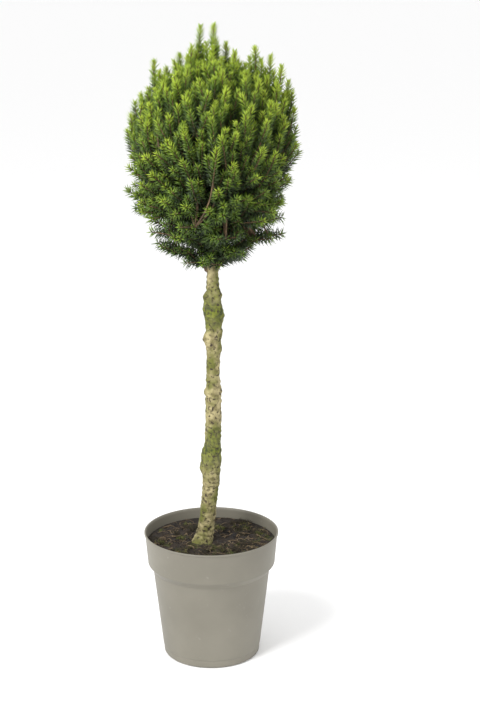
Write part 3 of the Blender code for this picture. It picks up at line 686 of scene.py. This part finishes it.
brown, shading, shader = blank_material("twig_bark", 0.85)
twig_colour, cracks = patches(shading, (0.050, 0.030, 0.015), (0.165, 0.105, 0.052), 150.0)
shading.links.new(twig_colour, shader.inputs["Base Color"])
bump(shading, shader, cracks, 0.0003)
boughs = arrays_object("boughs", *many_tubes(limbs, limb_radius, LIMB_SIDES), brown)
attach(boughs, "root")
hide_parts(*(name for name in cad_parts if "bough" in name))


# The shoots. Fine brown twigs, of the boughs' bark. Their tips spread over the crown by the golden
# angle, some further in, with leading shoots that stand out of it and open sprays below. Each is
# fed by a twig from the nearest limb.

CROWN_WIDEST = 0.680
CROWN_RADIUS = 0.104
CROWN_RISE = 0.105
CROWN_DROP = 0.165
UPRIGHT_ABOVE = 0.74
FOLLOWERS = 3
OUTER_SHOOTS, MIDDLE_SHOOTS, DEEP_SHOOTS = 400, 300, 150
UNDER_SHOOTS = 120
UNDER_REACH = (0.030, 0.092)
UNDER_FLOOR = 0.542
UNDER_RISE = 0.052
LOW_SHOOTS = 60
LOW_REACH = (0.017, 0.044)
LOW_LEVEL = (0.524, 0.580)
SHOOT_ROWS = 7
TWIG_SIDES = 5
TWIG_ROOT_RADIUS = 0.0012
SHOOT_TIP_RADIUS = 0.0006
FEEDER_TIP_RADIUS = 0.0009
ROOT_PULL = 0.10
FEEDER_CLIMB = 0.012
CORE_ROWS = 4

# Mean length of a leading, outer, middle, deep, under and low shoot. Their places in this list are
# the numbers of their kinds, and the sprays that follow the low boughs come after them.
SHOOT_LENGTHS = (0.058, 0.044, 0.042, 0.040, 0.040, 0.026)
LEADER, DEEP, LOW, SPRAY = 0, 3, 5, 6

# How many degrees above level a shoot points, from low in the crown to near its top, and how much
# each one wanders from that.
RISE_FROM, RISE_TO = 0.570, 0.745
LOW_RISE, HIGH_RISE = 8, 86
WANDER = 0.16

# Shares of a low bough's length where a side spray leaves it, to one side and the other in turn. Its
# way is so much along the bough and so much across it.
SIDE_SHARES = (0.22, 0.32, 0.42, 0.52, 0.62, 0.72, 0.82, 0.92)
SIDE_ALONG, SIDE_ACROSS = 0.72, 0.62
SIDE_LENGTH = (0.024, 0.036)

# Where the needles start on a low bough, and on the one that is mostly bare.
NEEDLED_FROM, BARE_NEEDLED_FROM = 0.24, 0.6

# The tips of the leading shoots, as they stand in the crown's outline.
LEADERS = (
    (0.006, -0.004, 0.820),
    (-0.010, 0.004, 0.818),
    (-0.020, -0.014, 0.795),
    (0.021, 0.012, 0.797),
    (0.031, -0.014, 0.789),
    (0.056, -0.004, 0.793),
    (0.075, 0.008, 0.782),
    (0.088, -0.012, 0.771),
    (-0.036, 0.006, 0.784),
    (-0.066, -0.010, 0.777),
    (-0.057, 0.020, 0.757),
    (0.010, 0.036, 0.792),
    (0.004, -0.027, 0.784),
    (0.050, 0.044, 0.778),
    (-0.018, 0.064, 0.772),
    (0.018, -0.056, 0.768),
    (-0.040, -0.050, 0.762),
    (0.097, 0.012, 0.751),
    (0.104, -0.008, 0.720),
    (0.111, 0.004, 0.666),
    (0.099, -0.010, 0.633),
    (0.090, 0.008, 0.606),
    (-0.084, 0.004, 0.736),
    (-0.101, 0.006, 0.692),
    (-0.102, -0.006, 0.621),
)


def ring_of_tips(turn, reach, level):
    """Tips round the stem, from their turns, reaches and levels."""
    return np.stack((STEM_X + reach * np.cos(turn), reach * np.sin(turn), level), axis=1)


def lattice(count, lowest, shares):
    """Tips on the crown's two half ellipsoids: even in height, a golden angle apart, each drawn in."""
    k = np.arange(count)
    height = (lowest - CROWN_WIDEST) / CROWN_DROP
    height = height + (1 - height) * (k + 0.5) / count
    share = draw.uniform(*shares, count)
    radius = share * CROWN_RADIUS * np.sqrt(np.maximum(1 - height**2, 0))
    level = CROWN_WIDEST + share * height * np.where(height > 0, CROWN_RISE, CROWN_DROP)
    turn = k * GOLDEN_ANGLE + draw.uniform(-0.12, 0.12, count)
    return ring_of_tips(turn, radius, level)


def growth(tips):
    """The way a shoot points: out from the stem, raised by a smooth step in its level, and wandering."""
    share = np.clip((tips[:, 2] - RISE_FROM) / (RISE_TO - RISE_FROM), 0, 1)
    share = share * share * (3 - 2 * share)
    rise = np.radians(LOW_RISE + (HIGH_RISE - LOW_RISE) * share)[:, None]
    out = tips - (STEM_X, 0, 0)
    out[:, 2] = 0
    out /= np.linalg.norm(out, axis=1, keepdims=True) + 1e-9
    way = np.cos(rise) * out + np.sin(rise) * UP + WANDER * draw.standard_normal(tips.shape)
    return way / np.linalg.norm(way, axis=1, keepdims=True)


outer = lattice(OUTER_SHOOTS, lowest=0.592, shares=(0.84, 1.02))
middle = lattice(MIDDLE_SHOOTS, lowest=0.575, shares=(0.66, 0.86))
deep = lattice(DEEP_SHOOTS, lowest=0.590, shares=(0.36, 0.62))

# The crown's underside is a bowl, whose floor climbs with the reach to the power of 1.5.
under_turn = np.arange(UNDER_SHOOTS) * GOLDEN_ANGLE
under_reach = draw.uniform(*UNDER_REACH, UNDER_SHOOTS)
under_level = UNDER_FLOOR + UNDER_RISE * (under_reach / 0.09) ** 1.5
under_level = under_level + draw.uniform(0.0, 0.034, UNDER_SHOOTS)
under = ring_of_tips(under_turn, under_reach, under_level)

# The lowest shoots sit close round the stem, and a little higher the further out they are.
low_turn = np.arange(LOW_SHOOTS) * GOLDEN_ANGLE + 0.4
low_reach = draw.uniform(*LOW_REACH, LOW_SHOOTS)
low_level = draw.uniform(*LOW_LEVEL, LOW_SHOOTS) + 0.25 * (low_reach - LOW_REACH[0])
low = ring_of_tips(low_turn, low_reach, low_level)

# Shorter shoots crowd round each leading one near the top.
leaders = np.array(LEADERS)
followers = np.repeat(leaders[leaders[:, 2] > UPRIGHT_ABOVE], FOLLOWERS, axis=0)
followers[:, :2] += draw.normal(0, 0.0060, (len(followers), 2))
followers[:, 2] -= draw.uniform(0.010, 0.034, len(followers))
leaders = np.concatenate((leaders, followers))

groups = (leaders, outer, middle, deep, under, low)
tips = np.concatenate(groups)
kinds = np.repeat(np.arange(len(groups)), [len(group) for group in groups])
ways = growth(tips)
leader_ways = ways[kinds == LEADER]
ways[kinds == LEADER] = leader_ways * 0.4 + 0.6 * np.where(leaders[:, 2:] > UPRIGHT_ABOVE, UP, leader_ways)
ways /= np.linalg.norm(ways, axis=1, keepdims=True)
lengths = np.choose(kinds, SHOOT_LENGTHS) * draw.uniform(0.8, 1.15, len(tips))
roots = tips - lengths[:, None] * ways
roots = roots + ROOT_PULL * (stem_point(roots[:, 2]) - roots)

side_starts, side_ends, side_ways = [], [], []
for limb, bare in zip(skirt_limbs, skirt_bare):
    for number, share in enumerate(SIDE_SHARES):
        if share < bare:
            continue
        row = int(share * (LIMB_ROWS - 1))
        start = limb[row]
        run = limb[min(row + 1, LIMB_ROWS - 1)] - limb[row - 1]
        run /= np.linalg.norm(run)
        across = np.cross(run, UP) * (1 if number % 2 else -1)
        way = SIDE_ALONG * run + SIDE_ACROSS * across + draw.uniform(-0.12, 0.22) * UP
        way /= np.linalg.norm(way)
        side_starts.append(start)
        side_ends.append(start + way * draw.uniform(*SIDE_LENGTH) * (1.15 - 0.4 * share))
        side_ways.append(way)

# The needled end of each low bough is a spray of its own.
needled_from = np.where(skirt_bare > 0.5, BARE_NEEDLED_FROM, NEEDLED_FROM)
needled_rows = (np.linspace(needled_from, 1, SHOOT_ROWS, axis=1) * (LIMB_ROWS - 1)).astype(int)
stalks = np.take_along_axis(skirt_limbs, needled_rows[:, :, None], axis=1)

shoots = bends(roots, tips, ways, SHOOT_ROWS, 0.5)
sides = bends(np.array(side_starts), np.array(side_ends), np.array(side_ways), SHOOT_ROWS, 0.4)
paths = np.concatenate((shoots, sides, stalks))
kinds = np.concatenate((kinds, np.full(len(sides) + len(stalks), SPRAY)))

# A shoot is fed from the nearest point of a limb, counted as if the limb were a little higher, so
# that most feeders climb.
cores = limbs[:, CORE_ROWS:].reshape(-1, 3)
apart = np.linalg.norm(roots[:, None] - cores[None] - (0, 0, FEEDER_CLIMB), axis=2)
feeders = bends(cores[apart.argmin(1)], roots, ways, SHOOT_ROWS, 0.45)

shoot_radius = np.linspace(TWIG_ROOT_RADIUS, SHOOT_TIP_RADIUS, SHOOT_ROWS)
feeder_radius = np.linspace(TWIG_ROOT_RADIUS, FEEDER_TIP_RADIUS, SHOOT_ROWS)
twig_paths = np.concatenate((paths, feeders))
twig_radius = np.repeat((shoot_radius, feeder_radius), (len(paths), len(feeders)), axis=0)
twigs = arrays_object("fine_twigs", *many_tubes(twig_paths, twig_radius, TWIG_SIDES), brown)
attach(twigs, "root")


# The needles. Stiff green spikes, spiralled round every shoot by the golden angle and leaning
# towards its tip. They go from dark low on a shoot to lime at its tip, with painted shade that darkens
# them inside and under the crown and painted light that lightens them at its top and outside.

NEEDLES_PER_METRE = 1750
FEWEST_NEEDLES = 30
NEEDLE_LENGTH = 0.0115
NEEDLE_WIDTH = 0.00082
BARE_SHARE = 0.12
MOST_NEEDLES = 33000

# How many degrees a needle leans from its shoot, and how many fewer at the crown's top and a tip.
NEEDLE_LEAN, LEAN_LOST_HIGH, LEAN_LOST_AT_TIP = 64, 12, 20

# What the tone gains towards a shoot's tip, and the painted light that it gains high in the crown
# and on its outside; how far a whole shoot's tone wanders; and the painted shade that it loses deep
# in the crown and low under it.
TIP_TONE, PAINTED_TOP_LIGHT, PAINTED_OUTSIDE_LIGHT = 0.50, 0.34, 0.22
SHOOT_TONE = 0.12
PAINTED_DEEP_SHADE, PAINTED_UNDER_SHADE = 0.25, 0.06

# Name, lowest and highest tone, and the two colours that a needle of that tone wanders between.
# The tone holds painted light and shade, so the darker sets stand partly for painted shade and the
# lighter ones partly for painted light.
TONES = (
    ("deep", -math.inf, 0.22, (0.010, 0.024, 0.004), (0.022, 0.046, 0.006)),
    ("green", 0.22, 0.42, (0.030, 0.060, 0.006), (0.052, 0.096, 0.009)),
    ("fresh", 0.42, 0.62, (0.068, 0.128, 0.008), (0.108, 0.180, 0.012)),
    ("bright", 0.62, 0.80, (0.138, 0.220, 0.012), (0.205, 0.295, 0.018)),
    ("lime", 0.80, math.inf, (0.240, 0.340, 0.018), (0.340, 0.440, 0.030)),
)


def place_along(paths, share):
    """The point and the run of each path at its share of the rows, read straight between two of them."""
    rows = paths.shape[1]
    spot = share * (rows - 1)
    before = np.minimum(spot.astype(int), rows - 2)
    part = (spot - before)[:, None]
    number = np.arange(len(paths))
    start, end = paths[number, before], paths[number, before + 1]
    run = end - start
    return start + part * run, run / (np.linalg.norm(run, axis=1, keepdims=True) + 1e-12)


def climb_of(value, start, span):
    """0 up to a start, then straight up to 1 over a span."""
    return np.clip((value - start) / span, 0, 1)


path_length = np.linalg.norm(np.diff(paths, axis=1), axis=2).sum(1)
counts = np.maximum((NEEDLES_PER_METRE * path_length).astype(int), FEWEST_NEEDLES)
owner = np.repeat(np.arange(len(paths)), counts)
number = np.arange(len(owner)) - np.repeat(np.cumsum(counts) - counts, counts)
share = (number + 0.5) / counts[owner]
share = np.where(kinds[owner] >= LOW, share, BARE_SHARE + (1 - BARE_SHARE) * share)
place, run = place_along(paths[owner], share)
side = np.cross(run, SLANT)
side /= np.linalg.norm(side, axis=1, keepdims=True)
other = np.cross(run, side)
around = number * GOLDEN_ANGLE + draw.uniform(-0.3, 0.3, len(owner))
radial = np.cos(around)[:, None] * side + np.sin(around)[:, None] * other

# High in the crown and at a shoot's tip the needles are shorter and lie closer to the shoot.
upper = climb_of(place[:, 2], 0.60, 0.12)
lean = np.radians(NEEDLE_LEAN - LEAN_LOST_HIGH * upper - LEAN_LOST_AT_TIP * climb_of(share, 0.82, 0.18))
lean = lean + 0.12 * draw.standard_normal(len(owner))
needle_way = np.cos(lean)[:, None] * run + np.sin(lean)[:, None] * radial + 0.10 * UP
needle_way /= np.linalg.norm(needle_way, axis=1, keepdims=True)
needle_length = (NEEDLE_LENGTH - 0.0017 * upper) * draw.uniform(0.82, 1.12, len(owner))
needle_length *= 1 - 0.30 * climb_of(share, 0.85, 0.15)
needle_width = NEEDLE_WIDTH * draw.uniform(0.85, 1.15, len(owner))

# Tone of a needle: lighter towards the tip of its shoot, with painted light that makes it lighter
# high in the crown and on the outside, and painted shade that makes it darker deep in the crown and
# low under it.
crown_level = place[:, 2] - CROWN_WIDEST
crown_height = np.where(crown_level > 0, CROWN_RISE, CROWN_DROP)
crown_reach = np.hypot(place[:, 0] - STEM_X, place[:, 1])
outside = np.hypot(crown_reach / CROWN_RADIUS, crown_level / crown_height)
shoot_tone = draw.uniform(-SHOOT_TONE, SHOOT_TONE, len(paths))
# The tip tone is the shoot's fresh growth; the rise high in the crown and on the outside is painted light.
tone_and_painted_light = TIP_TONE * climb_of(share, 0.45, 0.55) + PAINTED_TOP_LIGHT * climb_of(place[:, 2], 0.58, 0.20)
tone_and_painted_light += PAINTED_OUTSIDE_LIGHT * climb_of(outside, 0.70, 0.3) + shoot_tone[owner]
# Painted shade: the deep shoots, and the low shoots and sprays under the crown, are drawn darker.
tone_and_painted_light -= PAINTED_DEEP_SHADE * (kinds[owner] == DEEP) + PAINTED_UNDER_SHADE * (kinds[owner] >= LOW)

# The masses of needles among the imported solids are hidden once, when the first piece is made.
masses = [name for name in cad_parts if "needles" in name]
for tone_name, darkest, lightest, first, last in TONES:
    green, shading, shader = blank_material(f"{tone_name}_needles", 0.45)
    colour, _ = patches(shading, first, last, 70.0)
    shading.links.new(colour, shader.inputs["Base Color"])
    chosen = np.flatnonzero((tone_and_painted_light >= darkest) & (tone_and_painted_light < lightest))
    for part, members in enumerate(np.array_split(chosen, math.ceil(len(chosen) / MOST_NEEDLES))):
        measures = (needle_length[members], needle_width[members])
        arrays = spikes(place[members], needle_way[members], *measures)
        piece = arrays_object(f"{tone_name}_needles_{part + 1}", *arrays, green, smooth=False)
        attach(piece, "root")
        if masses:
            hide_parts(*masses)
            masses = []
